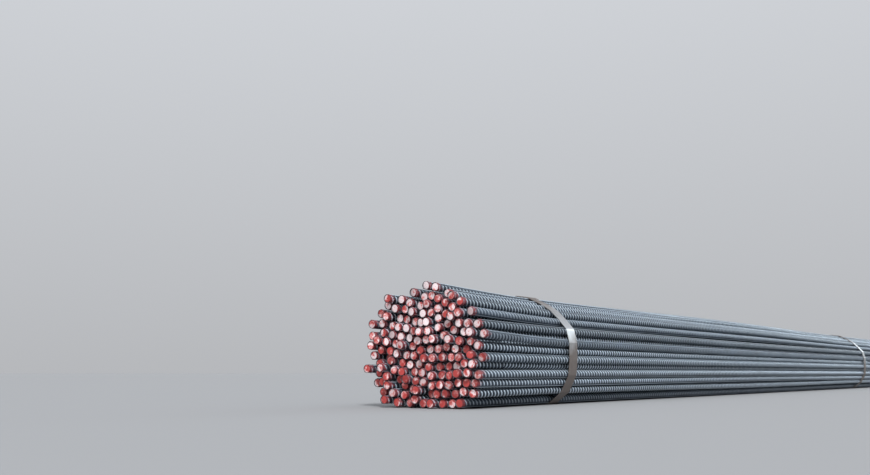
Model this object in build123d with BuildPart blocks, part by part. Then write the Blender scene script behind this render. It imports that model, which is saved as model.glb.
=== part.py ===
from build123d import *
import math
import os

import numpy as np

# A bundle of round reinforcing bars, held by three steel straps. X runs along the bars, Z is up.
# The origin is under the middle of the bundle, on the level that the straps rest on.
# Sizes are in millimetres.

# The bars
bar_diameter = 16.0
bar_length = 6000.0
bar_count = 150
bar_clearance = 0.5
inner_bar_sides = 12
end_scatter = 6.0
end_scatter_limit = 16.0

# How the bars settle in the sling before they are strapped
bundle_width_to_height = 1.1
settle_seed = 79
settle_pulls = 120
settle_pushes = 400

# The straps and their seals
strap_width = 32.0
strap_thickness = 0.9
strap_clearance = 0.5
strap_from_end = 330.0
strap_pitch = 2480.0
strap_count = 3
lap_length = 130.0
seal_length = 38.0
seal_thickness = 0.9
seal_clearance = 0.1
notch_depth = 4.0
notch_pitch = 15.0

spacing = bar_diameter + bar_clearance
bar_radius = bar_diameter / 2


def pushed_apart(centres):
    """Moves bars that overlap away from each other, and keeps all of them above the ground."""
    between = centres[:, None] - centres[None]
    far = 9
    distance = np.hypot(between[..., 0], between[..., 1]) + far * np.eye(len(centres))
    share = np.clip(1 - distance, 0, None) / distance / 2
    moved = centres + (between * share[..., None]).sum(axis=1)
    moved[:, 1] = np.maximum(moved[:, 1], 0)
    return moved


def settled_bars():
    """Centres (y, z) of bars that were gathered in a sling and lowered on flat ground.

    They settle in units of the spacing between two touching bars, and are brought to size last.
    """
    dense = 0.80
    loose = 1.25
    jitter = 0.5
    first_pull = 0.04
    heart_height = 0.72
    radius = math.sqrt(bar_count / dense) / 2
    draw = np.random.default_rng(settle_seed)
    order = np.arange(bar_count) + 0.5
    out = loose * radius * np.sqrt(order / bar_count)
    turn = order * math.pi * (3 - math.sqrt(5))
    centres = np.stack(
        [out * np.cos(turn) * bundle_width_to_height, out * np.sin(turn) + loose * radius], axis=1
    )
    centres += draw.normal(0, jitter, centres.shape)
    heart = np.array([0, heart_height * radius])
    share = np.array([1 / bundle_width_to_height**2, 1])
    for pull in np.linspace(first_pull, 0, settle_pulls):
        centres = centres + pull * share * (heart - centres)
        centres = pushed_apart(pushed_apart(centres))
    for _ in range(settle_pushes):
        centres = pushed_apart(centres)
    between = centres[:, None] - centres[None]
    distance = np.hypot(between[..., 0], between[..., 1]) + radius * np.eye(bar_count)
    centres *= spacing / distance.min()
    centres[:, 0] -= (centres[:, 0].min() + centres[:, 0].max()) / 2
    centres[:, 1] += bar_radius + strap_clearance + strap_thickness - centres[:, 1].min()
    return centres


def scattered_ends():
    """How far each bar stands along X from the middle of the bundle."""
    draw = np.random.default_rng(settle_seed)
    along = np.clip(draw.normal(0, end_scatter, bar_count), -end_scatter_limit, end_scatter_limit)
    return along - (along.min() + along.max()) / 2


def open_bars(centres):
    """Tells which bars have an open side, with no neighbour over a wide angle."""
    reach = 1.5 * spacing
    open_angle = math.radians(125)
    found = []
    for here in centres:
        between = centres - here
        distance = np.hypot(between[:, 0], between[:, 1])
        near = between[(distance > 0) & (distance < reach)]
        angles = np.sort(np.arctan2(near[:, 1], near[:, 0]))
        if len(angles) == 0:
            found.append(True)
            continue
        gaps = np.diff(np.append(angles, angles[0] + 2 * math.pi))
        found.append(gaps.max() > open_angle)
    return np.array(found)


def rings(centres):
    """Groups the bars from the outside in, one list of bar numbers for each ring."""
    left = np.arange(len(centres))
    groups = []
    while len(left):
        outer = open_bars(centres[left])
        groups.append(left[outer])
        left = left[~outer]
    return groups


def corner_bars(centres):
    """Centres of the bars that a tight strap bends around, anticlockwise seen from +X."""
    flat_turn = math.radians(0.5)
    level = 0.1
    lowest = centres[centres[:, 1] < centres[:, 1].min() + level]
    corners = [lowest[lowest[:, 0].argmax()]]
    heading = 0.0
    while True:
        between = centres - corners[-1]
        distance = np.hypot(between[:, 0], between[:, 1])
        turn = (np.arctan2(between[:, 1], between[:, 0]) - heading) % (2 * math.pi)
        turn[distance == 0] = 2 * math.pi
        least = turn.min()
        ahead = np.where(turn < least + flat_turn, distance, 0).argmax()
        heading += turn[ahead]
        if heading > 2 * math.pi - flat_turn or np.allclose(centres[ahead], corners[0]):
            return np.array(corners)
        corners.append(centres[ahead])


def wrap_line(corners, radius):
    """Draws the closed line of straight runs and arcs that a strap follows at this radius."""
    after = np.roll(corners, -1, axis=0)
    run = (after - corners) / np.hypot(*(after - corners).T)[:, None]
    outward = np.stack([run[:, 1], -run[:, 0]], axis=1)
    for here, there, now, then in zip(corners, after, outward, np.roll(outward, -1, axis=0)):
        middle = (now + then) / math.hypot(*(now + then))
        start = there + radius * now
        Line(tuple(here + radius * now), tuple(start))
        ThreePointArc(tuple(start), tuple(there + radius * middle), tuple(there + radius * then))


def seal_place(centres, corners):
    """Middle, direction and outward normal of the run at the upper back with most room under it."""
    best = None
    low = centres[:, 1].mean()
    for here, there in zip(corners, np.roll(corners, -1, axis=0)):
        length = math.hypot(*(there - here))
        run = (there - here) / length
        outward = np.array([run[1], -run[0]])
        middle = (here + there) / 2
        under = np.abs((centres - middle) @ run) < seal_length / 2 + bar_radius / 2
        room = ((here - centres[under]) @ outward).min() if length > seal_length else -1
        if middle[0] > 0 and middle[1] > low and (best is None or room > best[0]):
            best = (room, middle, run, outward)
    return best[1:]


bars = settled_bars()
along = scattered_ends()
corners = corner_bars(bars)
seal_middle, seal_run, seal_outward = seal_place(bars, corners)
strap_inside = bar_radius + strap_clearance
strap_outside = strap_inside + strap_thickness
lap_outside = strap_outside + strap_thickness
first_strap = strap_from_end - bar_length / 2


def seal_plane(x):
    """Plane on the strap's outer face where its seal sits, with x along the strap."""
    y, z = seal_middle + strap_outside * seal_outward
    return Plane(origin=(x, y, z), x_dir=(0, *seal_run), z_dir=(0, *seal_outward))


def cut_notches(plane):
    """Cuts the two pairs of V notches that lock a strap in its seal."""
    edge = strap_width / 2 + seal_clearance + seal_thickness
    side = notch_depth * math.sqrt(2)
    through = 4 * (strap_thickness + seal_clearance + seal_thickness)
    with BuildSketch(plane.offset(-through / 2)) as notches:
        with GridLocations(notch_pitch, 2 * edge, 2, 2):
            Rectangle(side, side, rotation=45)
    extrude(notches.sketch, amount=through, mode=Mode.SUBTRACT)


def make_ring(number, members):
    """One ring of bars, as separate solids. Inside the outer ring they have flat sides."""
    side_turn = math.pi / inner_bar_sides
    same_area_radius = bar_radius * math.sqrt(2 * side_turn / math.sin(2 * side_turn))
    with BuildPart() as ring:
        for bar in members:
            with BuildSketch(Plane.YZ.offset(along[bar] - bar_length / 2)):
                with Locations(tuple(bars[bar])):
                    if number == 1:
                        Circle(bar_radius)
                    else:
                        RegularPolygon(same_area_radius, inner_bar_sides)
        extrude(amount=bar_length)
    name = f"bars_ring_{number}"
    ring.part.label = name
    export_step(ring.part, f"parts/{name}.step")


def make_strap(number, x):
    """One strap, drawn tight around the corner bars, its free end lapped over it at the seal."""
    lap_depth = 3 * bar_diameter
    with BuildPart() as strap:
        with BuildSketch(Plane.YZ.offset(x - strap_width / 2)):
            with BuildLine():
                wrap_line(corners, strap_outside)
            make_face()
            with BuildLine():
                wrap_line(corners, strap_inside)
            make_face(mode=Mode.SUBTRACT)
        extrude(amount=strap_width)
        with BuildSketch(Plane.YZ.offset(x - strap_width / 2)):
            with BuildLine():
                wrap_line(corners, lap_outside)
            make_face()
            with BuildLine():
                wrap_line(corners, strap_outside)
            make_face(mode=Mode.SUBTRACT)
            with Locations(tuple(seal_middle)):
                Rectangle(
                    lap_length,
                    lap_depth,
                    rotation=math.degrees(math.atan2(seal_run[1], seal_run[0])),
                    mode=Mode.INTERSECT,
                )
        extrude(amount=strap_width)
        cut_notches(seal_plane(x))
    name = f"strap_{number}"
    strap.part.label = name
    export_step(strap.part, f"parts/{name}.step")


def make_seal(number, x):
    """The sleeve that is crimped around both layers of a strap."""
    layers = 2 * strap_thickness + 2 * seal_clearance
    inside = strap_width + 2 * seal_clearance
    plane = seal_plane(x)
    with BuildPart(plane) as seal:
        Box(seal_length, inside + 2 * seal_thickness, layers + 2 * seal_thickness)
        Box(seal_length, inside, layers, mode=Mode.SUBTRACT)
        cut_notches(plane)
    name = f"seal_{number}"
    seal.part.label = name
    export_step(seal.part, f"parts/{name}.step")


os.makedirs("parts", exist_ok=True)
for number, members in enumerate(rings(bars), start=1):
    make_ring(number, members)
for number in range(1, strap_count + 1):
    place = first_strap + (number - 1) * strap_pitch
    make_strap(number, place)
    make_seal(number, place)
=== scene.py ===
import math

import bpy
import numpy as np
from mathutils import Matrix, Vector


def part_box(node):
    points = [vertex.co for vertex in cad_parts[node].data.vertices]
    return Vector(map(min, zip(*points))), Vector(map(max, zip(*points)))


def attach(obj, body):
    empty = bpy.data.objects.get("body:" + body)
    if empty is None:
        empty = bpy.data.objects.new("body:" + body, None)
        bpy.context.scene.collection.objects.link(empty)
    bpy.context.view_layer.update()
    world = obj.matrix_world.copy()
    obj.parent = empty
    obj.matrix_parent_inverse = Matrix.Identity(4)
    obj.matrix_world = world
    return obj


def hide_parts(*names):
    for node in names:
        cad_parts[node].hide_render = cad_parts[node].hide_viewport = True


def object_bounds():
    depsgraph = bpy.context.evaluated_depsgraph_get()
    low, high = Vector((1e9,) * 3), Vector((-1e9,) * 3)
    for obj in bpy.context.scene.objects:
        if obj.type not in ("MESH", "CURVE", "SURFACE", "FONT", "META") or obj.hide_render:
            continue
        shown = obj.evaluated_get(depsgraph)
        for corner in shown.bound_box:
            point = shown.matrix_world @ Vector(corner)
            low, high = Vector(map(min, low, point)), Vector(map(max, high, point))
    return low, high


# A strapped bundle of ribbed reinforcing bars. Lengths are in metres, X runs along the bars and Z
# is up. The bars' places and ends come from the frame. What is drawn here is how they stray from
# straight, their ribs, sheared ends and finish.

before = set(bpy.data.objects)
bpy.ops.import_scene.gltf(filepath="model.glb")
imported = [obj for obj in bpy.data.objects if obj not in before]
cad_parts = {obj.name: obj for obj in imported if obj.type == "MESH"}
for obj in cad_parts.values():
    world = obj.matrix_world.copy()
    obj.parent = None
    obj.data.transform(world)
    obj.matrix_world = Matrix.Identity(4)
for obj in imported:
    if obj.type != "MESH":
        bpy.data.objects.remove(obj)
cad_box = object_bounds()
cad_low, cad_high = (np.array(corner) for corner in cad_box)

# The photograph's frame, in pixels, and what was measured in it
IMAGE_WIDTH, IMAGE_HEIGHT = 870, 475
FOCAL_PIXELS = 979.0
BARS_VANISH_AT = (1140.0, 373.0)
FACE_CENTRE_AT = (423.0, 346.0)
FACE_DISTANCE = 1.69
SENSOR_WIDTH = 36.0
CLIP_NEAR, CLIP_FAR = 0.01, 200

# The ribbed bar
CORE_RADIUS = 0.0073
CREST_RADIUS = 0.0085
RIB_PITCH = 0.011
RIB_LEAN = math.radians(24)
RIB_HALF_ARC = math.radians(78)
RIB_STATIONS = 6
RIB_FOOT = 0.0052
RIB_SINK = 0.00025
RIB_FULLNESS = 0.8
RIB_END_MARGIN = 0.0004
FIRST_RIB_PITCHES = (0.2, 1.0)
LAST_RIB_PITCHES = 0.3
SPINE_FOOT = 0.0011
SPINE_HEIGHT = 0.0007
SPINE_SINK = 0.0002
# How much of the bright rib colour, rubbed steel with a painted highlight, the spines get
SPINE_WEAR_AND_HIGHLIGHT = 0.6
CORE_SIDES = 16
OUTER_STEPS = 40
INNER_STEPS = 16
INNER_RIB_REACH = 0.095

# A sheared end: rings from its edge inwards, each with its share of the core's radius, how far it
# stands out and how burred it is
END_RINGS = (
    (1.0, 0.0, 1.0),
    (0.96, 0.0003, 1.0),
    (0.88, 0.0005, 0.25),
    (0.45, 0.0005, 0.0),
    (0.02, 0.0005, 0.0),
)
END_INSET = 0.0016
END_TILT = 0.22
END_LUMP = 0.00018

# How the bars stray from straight
END_FAN = np.array([0.075, 0.035])
FAN_REACH = 0.40
FAN_LIMIT = 1.1
FAN_CURVE = 1.5
STRAY_CURVE = 1.4
OUTER_END_PUSH = (0, 0.006)
INNER_END_PUSH = (-0.0008, 0.0008)
OUTER_END_SWAY = 0.0026
INNER_END_SWAY = 0.0012
BOW_PUSH = 0.008
BOW_SWAY = 0.003
PROUD_BAR_AT = math.radians(172)
PROUD_BAR_PUSH = np.array([-0.012, 0.007])
ROLL_SPREAD = math.radians(48)
BAR_SPACING = 0.0165
FLOOR_CLEARANCE = 0.0003
CLEARING_PUSHES = 60
SEED = 11

# The finish. Paint is the share of red on an end. Ends are redder towards the bottom of the bundle
# and whiter towards the top.
PAINT_MEAN, PAINT_SPREAD = 0.52, 0.17
REDDER_LOWER_DOWN = 0.45
PAINT_LIMITS = (0.05, 0.95)
# How dark an end may get: worn, dull paint and painted shade
MOST_WEAR_AND_SHADE = 0.75
TONE_SPREAD = 50
RED = (0.39, 0.045, 0.040)
DARK_RED = (0.24, 0.04, 0.042)
PALE_RED = (0.68, 0.28, 0.27)
MILL_SCALE = (0.035, 0.038, 0.046)
DEEP_SCALE = (0.015, 0.021, 0.030)
LIGHT_SCALE = (0.050, 0.064, 0.086)
DUST = (0.095, 0.11, 0.13)
# Rubbed steel with a painted highlight, for the rib crests and spines
RUBBED_STEEL_AND_HIGHLIGHT = (0.70, 0.81, 0.91)
CUT_STEEL = ((0.74, 0.58, 0.59), (0.95, 0.83, 0.84))
WORN_PAINT_AND_SHADE = (0.30, 0.20, 0.20)
# The strap's brown is rust and painted shade
STRAP_RUST_AND_SHADE = (0.10, 0.075, 0.062)
STRAP_STEEL = (0.53, 0.53, 0.54)
SEAL_STEEL = (0.46, 0.46, 0.46)
# The height where the strap is lit brightest; above and below it the strap gets painted shade
STRAP_LIT_HEIGHT = 0.145

# The stage: a floor, a sky from the horizon up, and three suns, each with where it stands, its
# strength, its width in degrees and its colour
FLOOR_HALF_SIZE = 200.0
FLOOR_COLOUR = (0.315, 0.315, 0.32, 1)
HORIZON = (0.47, 0.48, 0.50)
ZENITH = (0.88, 0.92, 0.98)
SUNS = (
    ("key", (-0.64, -0.60, 0.70), 3.2, 10, (0.95, 0.98, 1.0)),
    ("front", (-0.90, -0.38, 0.20), 0.9, 10, (1.0, 1.0, 1.0)),
    ("far", (0.91, -0.27, 0.34), 0.42, 20, (0.84, 0.95, 1.0)),
)


def bars_of(node):
    """Centre and both ends along X of each bar of a frame node, from its separate shells."""
    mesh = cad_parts[node].data
    points = np.array([v.co for v in mesh.vertices])
    keys = {}
    weld = np.array([keys.setdefault(tuple(np.round(p, 5)), len(keys)) for p in points])
    up = list(range(len(keys)))

    def root(i):
        while up[i] != i:
            up[i] = up[up[i]]
            i = up[i]
        return i

    for polygon in mesh.polygons:
        first, *rest = [weld[v] for v in polygon.vertices]
        for other in rest:
            up[root(first)] = root(other)
    shells = {}
    for point, key in zip(points, weld):
        shells.setdefault(root(key), []).append(point)
    found = []
    for shell in shells.values():
        low, high = np.min(shell, axis=0), np.max(shell, axis=0)
        found.append(((low[1] + high[1]) / 2, (low[2] + high[2]) / 2, low[0], high[0]))
    return sorted(found)


ring_nodes = sorted(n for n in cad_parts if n.startswith("bars_ring_"))
strap_nodes = sorted(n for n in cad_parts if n.startswith("strap_"))
seal_nodes = sorted(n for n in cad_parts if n.startswith("seal_"))
strap_places = sorted(sum(c[0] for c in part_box(n)) / 2 for n in strap_nodes)
ring_bars = {node: bars_of(node) for node in ring_nodes}
section_heart = np.array([0.0, (cad_low[2] + cad_high[2]) / 2])
face_plane = float(np.median([place[2] for places in ring_bars.values() for place in places]))


def make_camera():
    """A level camera that sees the near face and the vanishing point as the photograph does."""
    right = (BARS_VANISH_AT[0] - IMAGE_WIDTH / 2) / FOCAL_PIXELS
    down = (BARS_VANISH_AT[1] - IMAGE_HEIGHT / 2) / FOCAL_PIXELS
    pitch = math.atan(down)
    turn = math.atan2(right, math.hypot(1, down))
    level = math.cos(pitch)
    forward = Vector((math.cos(turn) * level, math.sin(turn) * level, math.sin(pitch)))
    side = forward.cross(Vector((0, 0, 1))).normalized()
    over = side.cross(forward)
    x = (FACE_CENTRE_AT[0] - IMAGE_WIDTH / 2) / FOCAL_PIXELS
    y = (FACE_CENTRE_AT[1] - IMAGE_HEIGHT / 2) / FOCAL_PIXELS
    face = Vector((face_plane, section_heart[0], section_heart[1]))
    data = bpy.data.cameras.new("camera")
    data.sensor_width = SENSOR_WIDTH
    data.lens = FOCAL_PIXELS / IMAGE_WIDTH * SENSOR_WIDTH
    data.clip_start, data.clip_end = CLIP_NEAR, CLIP_FAR
    camera = bpy.data.objects.new("camera", data)
    bpy.context.scene.collection.objects.link(camera)
    place = face - FACE_DISTANCE * (forward + x * side - y * over)
    turned = Matrix((side, over, -forward)).transposed().to_4x4()
    camera.matrix_world = Matrix.Translation(place) @ turned
    bpy.context.scene.camera = camera


make_camera()


def new_material(name):
    """A material with one Principled shader, and its node tree."""
    material = bpy.data.materials.new(name)
    material.use_nodes = True
    tree = material.node_tree
    return material, tree, tree.nodes["Principled BSDF"]


def add_node(tree, kind, **settings):
    """Adds a shader node. A setting names a property, or an input with _ for each space."""
    node = tree.nodes.new(kind)
    for key, value in settings.items():
        if hasattr(node, key):
            setattr(node, key, value)
        else:
            node.inputs[key.replace("_", " ")].default_value = value
    return node


def noise(tree, scale, stretch=(1, 1, 1), detail=3.0, roughness=0.55, offset=None):
    """A noise texture in object space, its scale in bumps a metre, drawn out by the stretch."""
    place = add_node(tree, "ShaderNodeTexCoord")
    squeeze = add_node(tree, "ShaderNodeMapping")
    squeeze.inputs["Scale"].default_value = [scale / s for s in stretch]
    tree.links.new(place.outputs["Object"], squeeze.inputs["Vector"])
    vector = squeeze.outputs["Vector"]
    if offset is not None:
        shift = add_node(tree, "ShaderNodeVectorMath", operation="ADD")
        tree.links.new(vector, shift.inputs[0])
        tree.links.new(offset, shift.inputs[1])
        vector = shift.outputs["Vector"]
    texture = add_node(tree, "ShaderNodeTexNoise", Scale=1.0, Detail=detail, Roughness=roughness)
    tree.links.new(vector, texture.inputs["Vector"])
    return texture.outputs["Fac"]


def ramp(tree, value, *stops):
    """Maps a value through colour stops, each a position and a grey or a colour."""
    node = add_node(tree, "ShaderNodeValToRGB")
    elements = node.color_ramp.elements
    while len(elements) < len(stops):
        elements.new(0.5)
    for element, (position, colour) in zip(elements, stops):
        element.position = position
        element.color = (colour,) * 3 + (1,) if isinstance(colour, (int, float)) else (*colour, 1)
    tree.links.new(value, node.inputs["Fac"])
    return node.outputs["Color"]


def blend(tree, share, one, two, kind="MIX"):
    """Mixes two colours by a share. Each may be a socket or a value."""
    node = add_node(tree, "ShaderNodeMix", data_type="RGBA", blend_type=kind)
    sockets = (node.inputs["Factor"], node.inputs[6], node.inputs[7])
    for socket, value in zip(sockets, (share, one, two)):
        if isinstance(value, bpy.types.NodeSocket):
            tree.links.new(value, socket)
        else:
            socket.default_value = value if isinstance(value, (int, float)) else (*value, 1)
    return node.outputs[2]


def attribute(tree, name):
    """A value that is stored on the mesh."""
    return add_node(tree, "ShaderNodeAttribute", attribute_name=name)


def math_node(tree, operation, one, two=0.0, three=0.0, clamp=False):
    """A maths node whose inputs are sockets or numbers."""
    node = add_node(tree, "ShaderNodeMath", operation=operation, use_clamp=clamp)
    for socket, value in zip(node.inputs, (one, two, three)):
        if isinstance(value, bpy.types.NodeSocket):
            tree.links.new(value, socket)
        else:
            socket.default_value = value
    return node.outputs[0]


def bar_material():
    """Mill scale on a hot-rolled bar: dark blue-grey and streaky, and red near the ends. The ribs
    are coloured bright: rubbed steel with a painted highlight on the crests. Some bars have
    brighter ribs, from rubbing and painted highlight, or darker scale, as painted shade, than
    others."""
    material, tree, shader = new_material("mill_scale")
    rub_and_highlight_by_bar, rub = 0.009, 0.95
    shade_by_bar, full_shade = 0.008, 1.0
    spray_fall = 22.0
    metal_on_ribs, metal_between = 0.30, 0.25
    rib_roughness = (0.28, 0.28, 0.28)
    shift = attribute(tree, "bar_tone").outputs["Vector"]
    streaks = noise(tree, 60, stretch=(6, 1, 1), detail=4, offset=shift)
    clouds = noise(tree, 9, stretch=(2, 1, 1), detail=2, offset=shift)
    scale_colour = ramp(tree, streaks, (0.30, DEEP_SCALE), (0.65, LIGHT_SCALE))
    dusty = ramp(tree, clouds, (0.50, 0.0), (0.80, 0.40))
    turns = math_node(tree, "MULTIPLY", attribute(tree, "rib_turns").outputs["Fac"], 2 * math.pi)
    painted = attribute(tree, "painted_ribs").outputs["Fac"]
    wave = math_node(tree, "MULTIPLY", math_node(tree, "SINE", turns), painted)
    end = attribute(tree, "from_end").outputs["Fac"]
    past_end = math_node(tree, "GREATER_THAN", end, INNER_RIB_REACH)
    wave = math_node(tree, "MULTIPLY", math_node(tree, "MAXIMUM", wave, 0.0), past_end)
    crest = math_node(tree, "MAXIMUM", attribute(tree, "crest").outputs["Fac"], wave)
    # Rib crests and spines coloured bright: rubbed steel with a painted highlight
    worn_and_highlight = ramp(tree, crest, (0.15, 0.0), (0.85, 1.0))
    split = add_node(tree, "ShaderNodeSeparateXYZ")
    tree.links.new(shift, split.inputs[0])
    # Per bar, at random: rib brightness from rubbing and painted highlight, and painted shade on
    # the scale
    rub_and_highlight = math_node(tree, "MULTIPLY_ADD", split.outputs["X"], rub_and_highlight_by_bar, rub)
    worn_and_highlight = math_node(tree, "MULTIPLY", worn_and_highlight, rub_and_highlight, clamp=True)
    shade = math_node(tree, "MULTIPLY_ADD", split.outputs["Y"], shade_by_bar, full_shade)
    scale_colour = blend(tree, 1.0, scale_colour, shade, kind="MULTIPLY")
    colour = blend(tree, dusty, scale_colour, DUST)
    colour = blend(tree, worn_and_highlight, colour, RUBBED_STEEL_AND_HIGHLIGHT)
    spray_noise = noise(tree, 260, detail=3, offset=shift)
    reach = math_node(tree, "SUBTRACT", spray_noise, math_node(tree, "MULTIPLY", end, spray_fall))
    spray = ramp(tree, reach, (0.20, 0.0), (0.45, 0.9))
    colour = blend(tree, spray, colour, DARK_RED)
    tree.links.new(colour, shader.inputs["Base Color"])
    bare = math_node(tree, "MULTIPLY_ADD", worn_and_highlight, metal_on_ribs, metal_between)
    metal = math_node(tree, "SUBTRACT", bare, spray, clamp=True)
    tree.links.new(metal, shader.inputs["Metallic"])
    shader.inputs["Specular IOR Level"].default_value = 0.12
    gloss = ramp(tree, streaks, (0.25, 0.42), (0.75, 0.58))
    gloss = blend(tree, worn_and_highlight, gloss, rib_roughness)
    tree.links.new(gloss, shader.inputs["Roughness"])
    ribs = add_node(tree, "ShaderNodeBump", Strength=1.0, Distance=CREST_RADIUS - CORE_RADIUS)
    tree.links.new(wave, ribs.inputs["Height"])
    bump = add_node(tree, "ShaderNodeBump", Strength=0.35, Distance=0.0002)
    tree.links.new(ribs.outputs["Normal"], bump.inputs["Normal"])
    tree.links.new(noise(tree, 700, detail=3, offset=shift), bump.inputs["Height"])
    tree.links.new(bump.outputs["Normal"], shader.inputs["Normal"])
    return material


def end_material():
    """A sheared end with a dark burred rim, sprayed red in patches over bright steel, and darkened
    at random by worn paint and painted shade.
    """
    material, tree, shader = new_material("sprayed_end")
    patchiness, one_sidedness, bare_metal = 1.8, 0.24, 0.25
    shift = attribute(tree, "bar_tone").outputs["Vector"]
    paint = attribute(tree, "paint").outputs["Fac"]
    patches = noise(tree, 130, detail=3, roughness=0.6, offset=shift)
    wide = math_node(tree, "MULTIPLY", math_node(tree, "SUBTRACT", patches, 0.5), patchiness)
    cover = math_node(tree, "ADD", wide, paint)
    sprayed_side = attribute(tree, "spray_side").outputs["Fac"]
    cover = math_node(tree, "MULTIPLY_ADD", sprayed_side, one_sidedness, cover)
    mask = ramp(tree, cover, (0.38, 0.0), (0.56, 1.0))
    thin = ramp(tree, cover, (0.48, 0.0), (0.78, 1.0))
    red = blend(tree, thin, PALE_RED, RED)
    grain = noise(tree, 900, detail=2, offset=shift)
    steel = ramp(tree, grain, (0.3, CUT_STEEL[0]), (0.7, CUT_STEEL[1]))
    colour = blend(tree, mask, steel, red)
    # Some ends darkened at random: worn, dull paint, and painted shade for ends that sit back in
    # the bundle
    wear_and_shade = attribute(tree, "wear_and_shade").outputs["Fac"]
    colour = blend(tree, wear_and_shade, colour, WORN_PAINT_AND_SHADE, kind="MULTIPLY")
    rim = attribute(tree, "rim").outputs["Fac"]
    burr = noise(tree, 420, detail=2, offset=shift)
    ragged = math_node(tree, "ADD", rim, math_node(tree, "SUBTRACT", burr, 0.5))
    dark = ramp(tree, ragged, (0.40, 0.0), (0.62, 1.0))
    colour = blend(tree, dark, colour, MILL_SCALE)
    tree.links.new(colour, shader.inputs["Base Color"])
    metal = math_node(tree, "SUBTRACT", bare_metal, mask, clamp=True)
    tree.links.new(metal, shader.inputs["Metallic"])
    shader.inputs["Roughness"].default_value = 0.42
    bump = add_node(tree, "ShaderNodeBump", Strength=0.5, Distance=0.0004)
    tree.links.new(noise(tree, 420, detail=3, offset=shift), bump.inputs["Height"])
    tree.links.new(bump.outputs["Normal"], shader.inputs["Normal"])
    return material


def strap_material(name, tint):
    """Flat steel strap with rust stains, bright at its lit height and, as painted shade, browner
    and duller above and below it.
    """
    material, tree, shader = new_material(name)
    shade_by_height, rust_and_shade_dull, dark_line = 6.0, 0.7, 0.72
    lines = noise(tree, 500, stretch=(1, 30, 30), detail=2)
    rust_and_shade = noise(tree, 16, detail=4)
    steel = ramp(tree, lines, (0.3, tuple(dark_line * c for c in tint)), (0.7, tint))
    place = add_node(tree, "ShaderNodeTexCoord")
    split = add_node(tree, "ShaderNodeSeparateXYZ")
    tree.links.new(place.outputs["Object"], split.inputs[0])
    # Painted shade: browner and duller the further the strap is above or below its lit height
    above_lit = math_node(tree, "SUBTRACT", split.outputs["Z"], STRAP_LIT_HEIGHT)
    off_lit = math_node(tree, "ABSOLUTE", above_lit)
    rust_and_shade = math_node(tree, "MULTIPLY_ADD", off_lit, shade_by_height, rust_and_shade)
    brown = ramp(tree, rust_and_shade, (0.58, 0.0), (0.84, 0.9))
    colour = blend(tree, brown, steel, STRAP_RUST_AND_SHADE)
    tree.links.new(colour, shader.inputs["Base Color"])
    dulled = math_node(tree, "MULTIPLY", brown, rust_and_shade_dull)
    metal = math_node(tree, "SUBTRACT", 1.0, dulled, clamp=True)
    tree.links.new(metal, shader.inputs["Metallic"])
    gloss = ramp(tree, rust_and_shade, (0.55, 0.36), (0.85, 0.55))
    tree.links.new(gloss, shader.inputs["Roughness"])
    bump = add_node(tree, "ShaderNodeBump", Strength=0.5, Distance=0.0010)
    tree.links.new(noise(tree, 55, detail=3), bump.inputs["Height"])
    tree.links.new(bump.outputs["Normal"], shader.inputs["Normal"])
    return material


class Shape:
    """Collects points, faces and values of one mesh."""

    value_names = ("crest", "from_end", "rim", "rib_turns", "spray_side")

    def __init__(self):
        self.points, self.faces, self.materials = [], [], []
        self.values = {name: [] for name in self.value_names}
        self.count = 0

    def grid(self, points, closed=False, material=0, **values):
        """Adds a grid of points, shaped rows x columns x 3, with quads between them. A value that
        isn't given is zero."""
        rows, columns = points.shape[:2]
        first = self.count + np.arange(rows * columns).reshape(rows, columns)
        side = np.roll(first, -1, axis=1) if closed else first[:, 1:]
        here = first if closed else first[:, :-1]
        quads = np.stack([here[:-1], side[:-1], side[1:], here[1:]], axis=-1).reshape(-1, 4)
        self.points.append(points.reshape(-1, 3))
        self.faces.append(quads)
        self.materials.append(np.full(len(quads), material))
        for key, parts in self.values.items():
            value = values.get(key, 0.0)
            parts.append(np.broadcast_to(value, points.shape[:2]).reshape(-1))
        self.count += rows * columns

    def build(self, name, materials, tone, shift, **steady):
        """Makes the object, moved aside by the shift at each place. Steady values are the same
        all over it."""
        points = np.concatenate(self.points)
        points[:, 1:] += shift(points[:, 0])
        faces = np.concatenate(self.faces)
        mesh = bpy.data.meshes.new(name)
        mesh.vertices.add(len(points))
        mesh.vertices.foreach_set("co", points.astype(np.float32).ravel())
        mesh.loops.add(faces.size)
        mesh.loops.foreach_set("vertex_index", faces.astype(np.int32).ravel())
        mesh.polygons.add(len(faces))
        mesh.polygons.foreach_set("loop_start", np.arange(0, faces.size, 4, dtype=np.int32))
        mesh.polygons.foreach_set("material_index", np.concatenate(self.materials).astype(np.int32))
        mesh.polygons.foreach_set("use_smooth", np.ones(len(faces), bool))
        for key, parts in self.values.items():
            layer = mesh.attributes.new(key, "FLOAT", "POINT")
            layer.data.foreach_set("value", np.concatenate(parts).astype(np.float32))
        for key, value in steady.items():
            layer = mesh.attributes.new(key, "FLOAT", "POINT")
            layer.data.foreach_set("value", np.full(len(points), value, np.float32))
        layer = mesh.attributes.new("bar_tone", "FLOAT_VECTOR", "POINT")
        layer.data.foreach_set("vector", np.tile(np.array(tone, np.float32), len(points)))
        mesh.update(calc_edges=True)
        mesh.validate()
        for material in materials:
            mesh.materials.append(material)
        thing = bpy.data.objects.new(name, mesh)
        bpy.context.scene.collection.objects.link(thing)
        return thing


lowest_axis = cad_low[2] + CREST_RADIUS + FLOOR_CLEARANCE


def bow_share(x, start, stop):
    """How much of its full bow a bar has at each place between two straps."""
    t = np.clip((x - start) / (stop - start), 0, 1)[..., None]
    return np.sin(math.pi * t) ** 2


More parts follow.
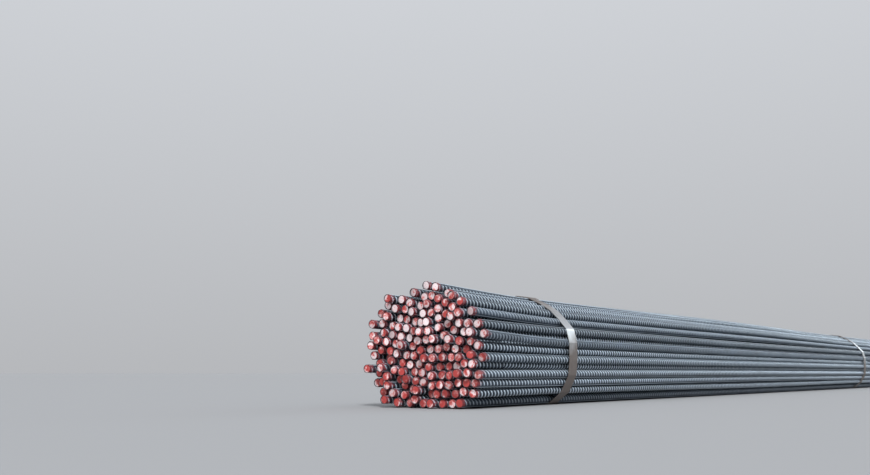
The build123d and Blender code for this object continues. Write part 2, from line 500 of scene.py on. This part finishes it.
def stray_line(y, z, outer, proud, draw):
    """Where a bar's axis runs: it fans out past the end straps and bows a little between straps."""
    heart = section_heart
    out = np.array([y, z]) - heart
    out = out / max(np.hypot(*out), 1e-6)
    across = np.array([-out[1], out[0]])
    push_range = OUTER_END_PUSH if outer else INNER_END_PUSH
    sway = OUTER_END_SWAY if outer else INNER_END_SWAY
    ends = []
    for _ in range(2):
        push = draw.uniform(*push_range)
        ends.append(push * out + draw.uniform(-sway, sway) * across)
    if proud:
        ends[0] = PROUD_BAR_PUSH
    bows = []
    for _ in strap_places[1:]:
        bow = BOW_PUSH * draw.uniform(0, 1) ** 2 * out + draw.uniform(-BOW_SWAY, BOW_SWAY) * across
        bows.append(bow if outer else 0.0 * out)
    fan = END_FAN * np.array([y, z - cad_low[2]])

    def line(x):
        x = np.asarray(x, float)
        moved = np.zeros(x.shape + (2,))
        for sign, edge, end in ((-1, strap_places[0], ends[0]), (1, strap_places[-1], ends[1])):
            t = np.clip(sign * (x - edge) / FAN_REACH, 0, FAN_LIMIT)[..., None]
            moved += t**FAN_CURVE * fan + t**STRAY_CURVE * end
        for a, b, bow in zip(strap_places, strap_places[1:], bows):
            moved += bow * bow_share(x, a, b)
        centre = np.array([y, z]) + moved
        centre[..., 1] = np.maximum(centre[..., 1], lowest_axis)
        return centre

    return line


def pushed_apart(places):
    """Bar places in one cross-section, moved until they are clear of each other and the floor."""
    for _ in range(CLEARING_PUSHES):
        between = places[:, None] - places[None]
        distance = np.hypot(between[..., 0], between[..., 1]) + np.eye(len(places))
        share = np.clip(BAR_SPACING - distance, 0, None) / distance / 2
        places = places + (between * share[..., None]).sum(axis=1)
        places[:, 1] = np.maximum(places[:, 1], lowest_axis)
    return places


def clearing_shifts(lines):
    """For each bar, how far it moves aside so that bars that stray don't run into each other.

    The moves are found at both ends and in the middle of each span, and fade out at the straps.
    """
    first, last = strap_places[0], strap_places[-1]
    ends = [(first, face_plane), (last, last + first - face_plane)]
    spans = list(zip(strap_places, strap_places[1:]))
    moves = []
    for section in [end for _, end in ends] + [(a + b) / 2 for a, b in spans]:
        places = np.array([line(section) for line in lines])
        moves.append(pushed_apart(places) - places)

    def shift_of(bar):
        def shift(x):
            moved = np.zeros((len(x), 2))
            for (edge, end), move in zip(ends, moves):
                t = np.clip((x - edge) / (end - edge), 0, FAN_LIMIT)[:, None]
                moved += t**STRAY_CURVE * move[bar]
            for (a, b), move in zip(spans, moves[len(ends) :]):
                moved += move[bar] * bow_share(x, a, b)
            return moved

        return shift

    return [shift_of(bar) for bar in range(len(lines))]


def wrapped(line, x, angle, radius):
    """Points at these places along a bar, angles around it and radii."""
    x, angle, radius = np.broadcast_arrays(x, angle, radius)
    y, z = np.moveaxis(line(x), -1, 0)
    return np.stack([x, y + radius * np.cos(angle), z + radius * np.sin(angle)], axis=-1)


def add_core(shape, line, x, roll, around, from_end):
    """The round core of a bar and the two spines along it."""
    lean_way = np.arcsin(np.sin(around - roll))[None]
    rib_turns = (x + lean_way * CORE_RADIUS * math.tan(RIB_LEAN)) / RIB_PITCH
    core = wrapped(line, x, around[None], CORE_RADIUS)
    ends = from_end(x)
    shape.grid(core[:, ::-1], from_end=ends, rib_turns=rib_turns[:, ::-1], closed=True)
    for spine in (roll + math.pi / 2, roll - math.pi / 2):
        turn = SPINE_FOOT / CORE_RADIUS
        profile = np.array([-turn, -turn / 3, turn / 3, turn]) + spine
        high = np.array([-SPINE_SINK, SPINE_HEIGHT, SPINE_HEIGHT, -SPINE_SINK]) + CORE_RADIUS
        points = wrapped(line, x, profile[None, ::-1], high[None])
        crest = np.array([0.0, SPINE_WEAR_AND_HIGHLIGHT, SPINE_WEAR_AND_HIGHLIGHT, 0.0])[None]
        shape.grid(points, crest=crest, from_end=ends)


def add_ribs(shape, line, start, stop, roll, middles, from_end):
    """Two rows of crescent ribs, one on each half of a bar."""
    stations = np.linspace(-1, 1, RIB_STATIONS)
    rise = CREST_RADIUS - CORE_RADIUS
    rise = rise * np.sqrt(np.clip(1 - stations**2, 0, 1)) ** RIB_FULLNESS
    crest = np.stack([0 * rise, rise, 0 * rise], axis=-1) / rise.max()
    low = np.full(RIB_STATIONS, CORE_RADIUS - RIB_SINK)
    radii = np.stack([low, CORE_RADIUS + rise, low], axis=-1)[None]
    foot = RIB_FOOT / 2
    foot_margin = RIB_END_MARGIN / 2
    for row, lean in ((roll, RIB_LEAN), (roll + math.pi, -RIB_LEAN)):
        slant = stations * RIB_HALF_ARC * CORE_RADIUS * math.tan(lean)
        ridge = middles[:, None] + slant[None]
        ridge = np.clip(ridge, start + RIB_END_MARGIN, stop - RIB_END_MARGIN)
        xs = np.stack([ridge - foot, ridge, ridge + foot], axis=-1)
        xs = np.clip(xs, start + foot_margin, stop - foot_margin)
        angles = (row + stations * RIB_HALF_ARC)[None, :, None]
        for rib, rib_x in zip(wrapped(line, xs, angles, radii), xs):
            shape.grid(rib, crest=crest, from_end=from_end(rib_x))


def add_end(shape, line, sign, edge, around, draw):
    """A sheared end, tilted and lumpy, sprayed more on the side that it is tilted to."""
    tilt = draw.uniform(0, END_TILT)
    way = draw.uniform(0, 2 * math.pi)
    lean = np.cos(around - way)
    rows, rims, sides = [], [], []
    for share, out, rim in END_RINGS:
        radius = CORE_RADIUS * share
        ring = wrapped(line, edge, around, radius)
        if out > 0:
            lump = draw.uniform(-END_LUMP, END_LUMP, CORE_SIDES)
            depth = sign * (out + lump) + sign * tilt * radius * lean
            ring[:, 0] = edge + depth - sign * END_INSET
        rows.append(ring)
        rims.append(rim)
        sides.append(radius / CORE_RADIUS * lean)
    points, sides = np.stack(rows), np.stack(sides)
    if sign > 0:
        points, sides = points[:, ::-1], sides[:, ::-1]
    rims = np.array(rims)[:, None]
    shape.grid(points, rim=rims, spray_side=sides, closed=True, material=1)


def shape_bar(place, outer, proud, draw):
    """One ribbed bar, with its core, spines, ribs and sheared ends.

    Gives its shape, the line of its axis, its tone and its steady values.
    """
    y, z, start, stop = place
    line = stray_line(y, z, outer, proud, draw)
    shape = Shape()
    roll = math.pi + draw.uniform(-ROLL_SPREAD, ROLL_SPREAD)
    steps = OUTER_STEPS if outer else INNER_STEPS
    bend = 0.5 - 0.5 * np.cos(np.linspace(0, math.pi, steps))
    along = start + (stop - start) * (0.5 * bend + 0.5 * np.linspace(0, 1, steps))
    around = roll + np.linspace(0, 2 * math.pi, CORE_SIDES, endpoint=False)

    def from_end(x):
        return np.minimum(x - start, stop - x)

    add_core(shape, line, along[:, None], roll, around, from_end)
    first_rib = start + draw.uniform(*FIRST_RIB_PITCHES) * RIB_PITCH
    ribs = np.arange(first_rib, stop - LAST_RIB_PITCHES * RIB_PITCH, RIB_PITCH)
    middles = ribs if outer else ribs[from_end(ribs) < INNER_RIB_REACH]
    add_ribs(shape, line, start, stop, roll, middles, from_end)
    for sign, edge in ((-1, start), (1, stop)):
        add_end(shape, line, sign, edge, around, draw)

    tone = draw.uniform(-TONE_SPREAD, TONE_SPREAD, 3)
    lowness = 0.5 - (z - cad_low[2]) / (cad_high[2] - cad_low[2])
    # Redder towards the bottom of the bundle, whiter towards the top
    paint = draw.normal(PAINT_MEAN, PAINT_SPREAD) + REDDER_LOWER_DOWN * lowness
    paint = float(np.clip(paint, *PAINT_LIMITS))
    # How much an end is darkened, by worn paint and painted shade
    wear_and_shade = float(draw.uniform(0, MOST_WEAR_AND_SHADE) ** 2)
    return shape, line, tone, {"paint": paint, "wear_and_shade": wear_and_shade, "painted_ribs": float(not outer)}


def make_bars():
    """Every bar of the bundle, each at its place in the frame."""
    draw = np.random.default_rng(SEED)
    materials = [bar_material(), end_material()]
    outer_ring = ring_nodes[0]
    heart_y, heart_z = section_heart

    def off_proud(place):
        return abs(math.atan2(place[1] - heart_z, place[0] - heart_y) - PROUD_BAR_AT)

    proud = min(ring_bars[outer_ring], key=off_proud)
    nodes, shaped = [], []
    for node, places in ring_bars.items():
        for place in places:
            nodes.append(node)
            shaped.append(shape_bar(place, node == outer_ring, place == proud, draw))
    shifts = clearing_shifts([line for _, line, _, _ in shaped])
    for number, (node, (shape, _, tone, steady)) in enumerate(zip(nodes, shaped), start=1):
        bar = shape.build(f"bar_{number:03d}", materials, tone, shifts[number - 1], **steady)
        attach(bar, "root")
        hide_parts(node)


def dress_straps():
    """Gives the straps and seals of the frame their finish."""
    strap = strap_material("strap_steel", STRAP_STEEL)
    seal = strap_material("seal_steel", SEAL_STEEL)
    for nodes, material in ((strap_nodes, strap), (seal_nodes, seal)):
        for node in nodes:
            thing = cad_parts[node]
            thing.data.materials.clear()
            thing.data.materials.append(material)


def make_floor():
    """A plain pale floor, without gloss."""
    size = FLOOR_HALF_SIZE
    corners = [(-size, -size, 0), (size, -size, 0), (size, size, 0), (-size, size, 0)]
    mesh = bpy.data.meshes.new("floor")
    mesh.from_pydata(corners, [], [(0, 1, 2, 3)])
    floor = bpy.data.objects.new("floor", mesh)
    bpy.context.scene.collection.objects.link(floor)
    material, _, shader = new_material("pale_floor")
    shader.inputs["Base Color"].default_value = FLOOR_COLOUR
    shader.inputs["Roughness"].default_value = 1.0
    shader.inputs["Specular IOR Level"].default_value = 0.0
    mesh.materials.append(material)


def make_light():
    """A sky that is brighter overhead, and soft suns."""
    world = bpy.data.worlds.new("studio")
    bpy.context.scene.world = world
    world.use_nodes = True
    tree = world.node_tree
    place = add_node(tree, "ShaderNodeTexCoord")
    split = add_node(tree, "ShaderNodeSeparateXYZ")
    tree.links.new(place.outputs["Generated"], split.inputs[0])
    sky = ramp(tree, split.outputs["Z"], (0.0, HORIZON), (1.0, ZENITH))
    tree.links.new(sky, tree.nodes["Background"].inputs["Color"])
    for name, towards, power, softness, colour in SUNS:
        sun = bpy.data.lights.new(name, "SUN")
        sun.energy = power
        sun.angle = math.radians(softness)
        sun.color = colour
        lamp = bpy.data.objects.new(name, sun)
        lamp.rotation_mode = "QUATERNION"
        lamp.rotation_quaternion = Vector(towards).to_track_quat("Z", "Y")
        bpy.context.scene.collection.objects.link(lamp)


make_bars()
dress_straps()
make_floor()
make_light()
bpy.context.scene.view_settings.view_transform = "Standard"
